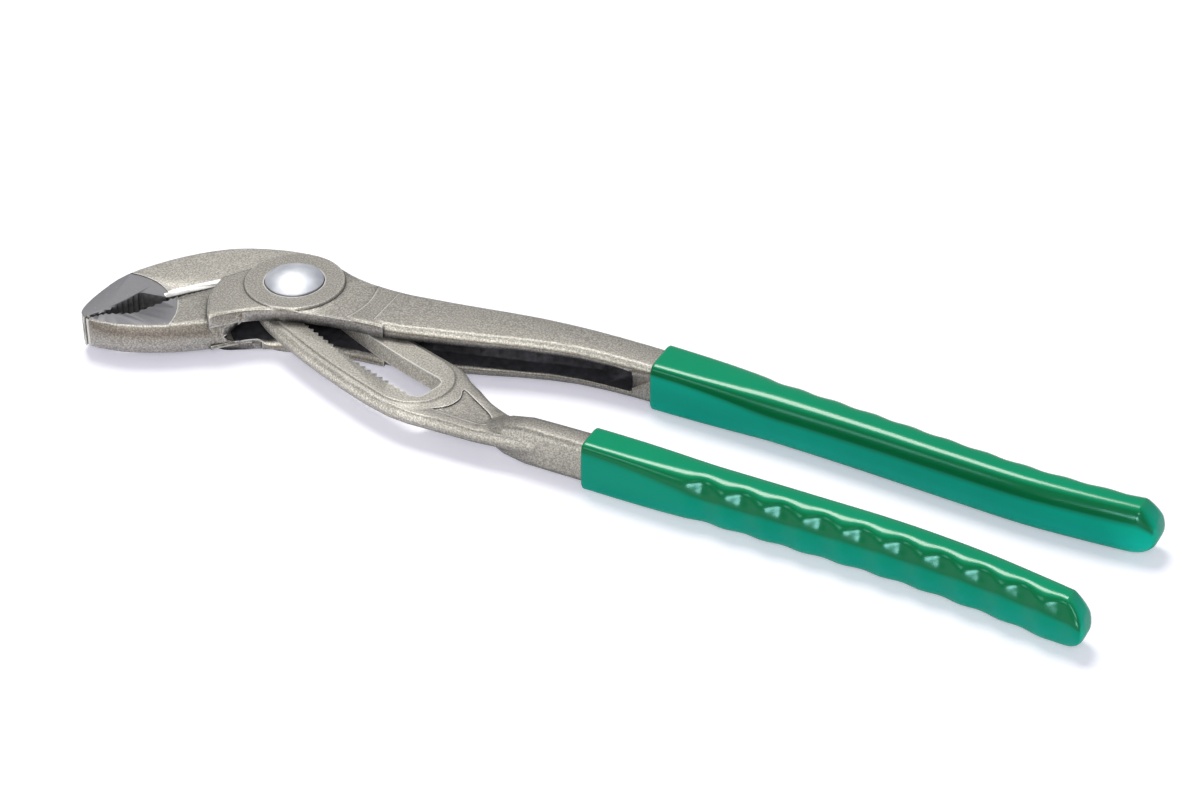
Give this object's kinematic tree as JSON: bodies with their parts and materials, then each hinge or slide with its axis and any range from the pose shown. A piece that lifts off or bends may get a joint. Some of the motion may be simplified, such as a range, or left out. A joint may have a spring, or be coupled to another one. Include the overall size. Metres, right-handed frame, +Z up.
{
  "type": "water pump pliers",
  "caption": "Push-button water pump pliers: a boxed arm and an arm with a curved toothed slot, joined by a domed spring bolt, with toothed pipe jaws and dipped plastic grips.",
  "frame": {"origin": "on the axis of the joint bolt, in the plane of the lower boss face that the pliers lie on", "axes": "+X from the jaws to the handle ends, +Y from the slotted arm's handle to the boxed arm's handle, +Z up out of the side with the bolt's dome"},
  "size_m": [0.2509, 0.0526, 0.0148],
  "materials": {
    "forged_steel": "bead-blasted nickel-grey forging with ground jaw sides",
    "polished_steel": "polished",
    "spring_steel": "drawn wire",
    "green_plastic": "glossy dipped plastic"
  },
  "bodies": {
    "boxed_side": {"boxed_arm": "forged_steel", "boxed_arm_grip": "green_plastic"},
    "turning_centre": {"bolt_spring": "spring_steel"},
    "bolt": {"push_bolt": "polished_steel", "bolt_clip": "spring_steel"},
    "slotted_side": {"slotted_arm": "forged_steel", "slotted_arm_grip": "green_plastic"}
  },
  "joints": [
    {"name": "handle_pivot", "type": "hinge", "parent": "boxed_side", "child": "turning_centre", "pos_m": [0, 0, 0], "axis": [0, 0, -1], "range_deg": [0, 40]},
    {"name": "button_press", "type": "slide", "parent": "turning_centre", "child": "bolt", "axis": [0, 0, -1], "range_m": [0, 0.0022], "stiffness_N_per_m": 2000, "springref_m": -0.001, "deforming": ["bolt_spring"]},
    {"name": "size_adjust", "type": "hinge", "parent": "turning_centre", "child": "slotted_side", "pos_m": [0.10043, 0.16715, 0], "axis": [0, 0, -1], "range_deg": [0, 13.75]}
  ]
}
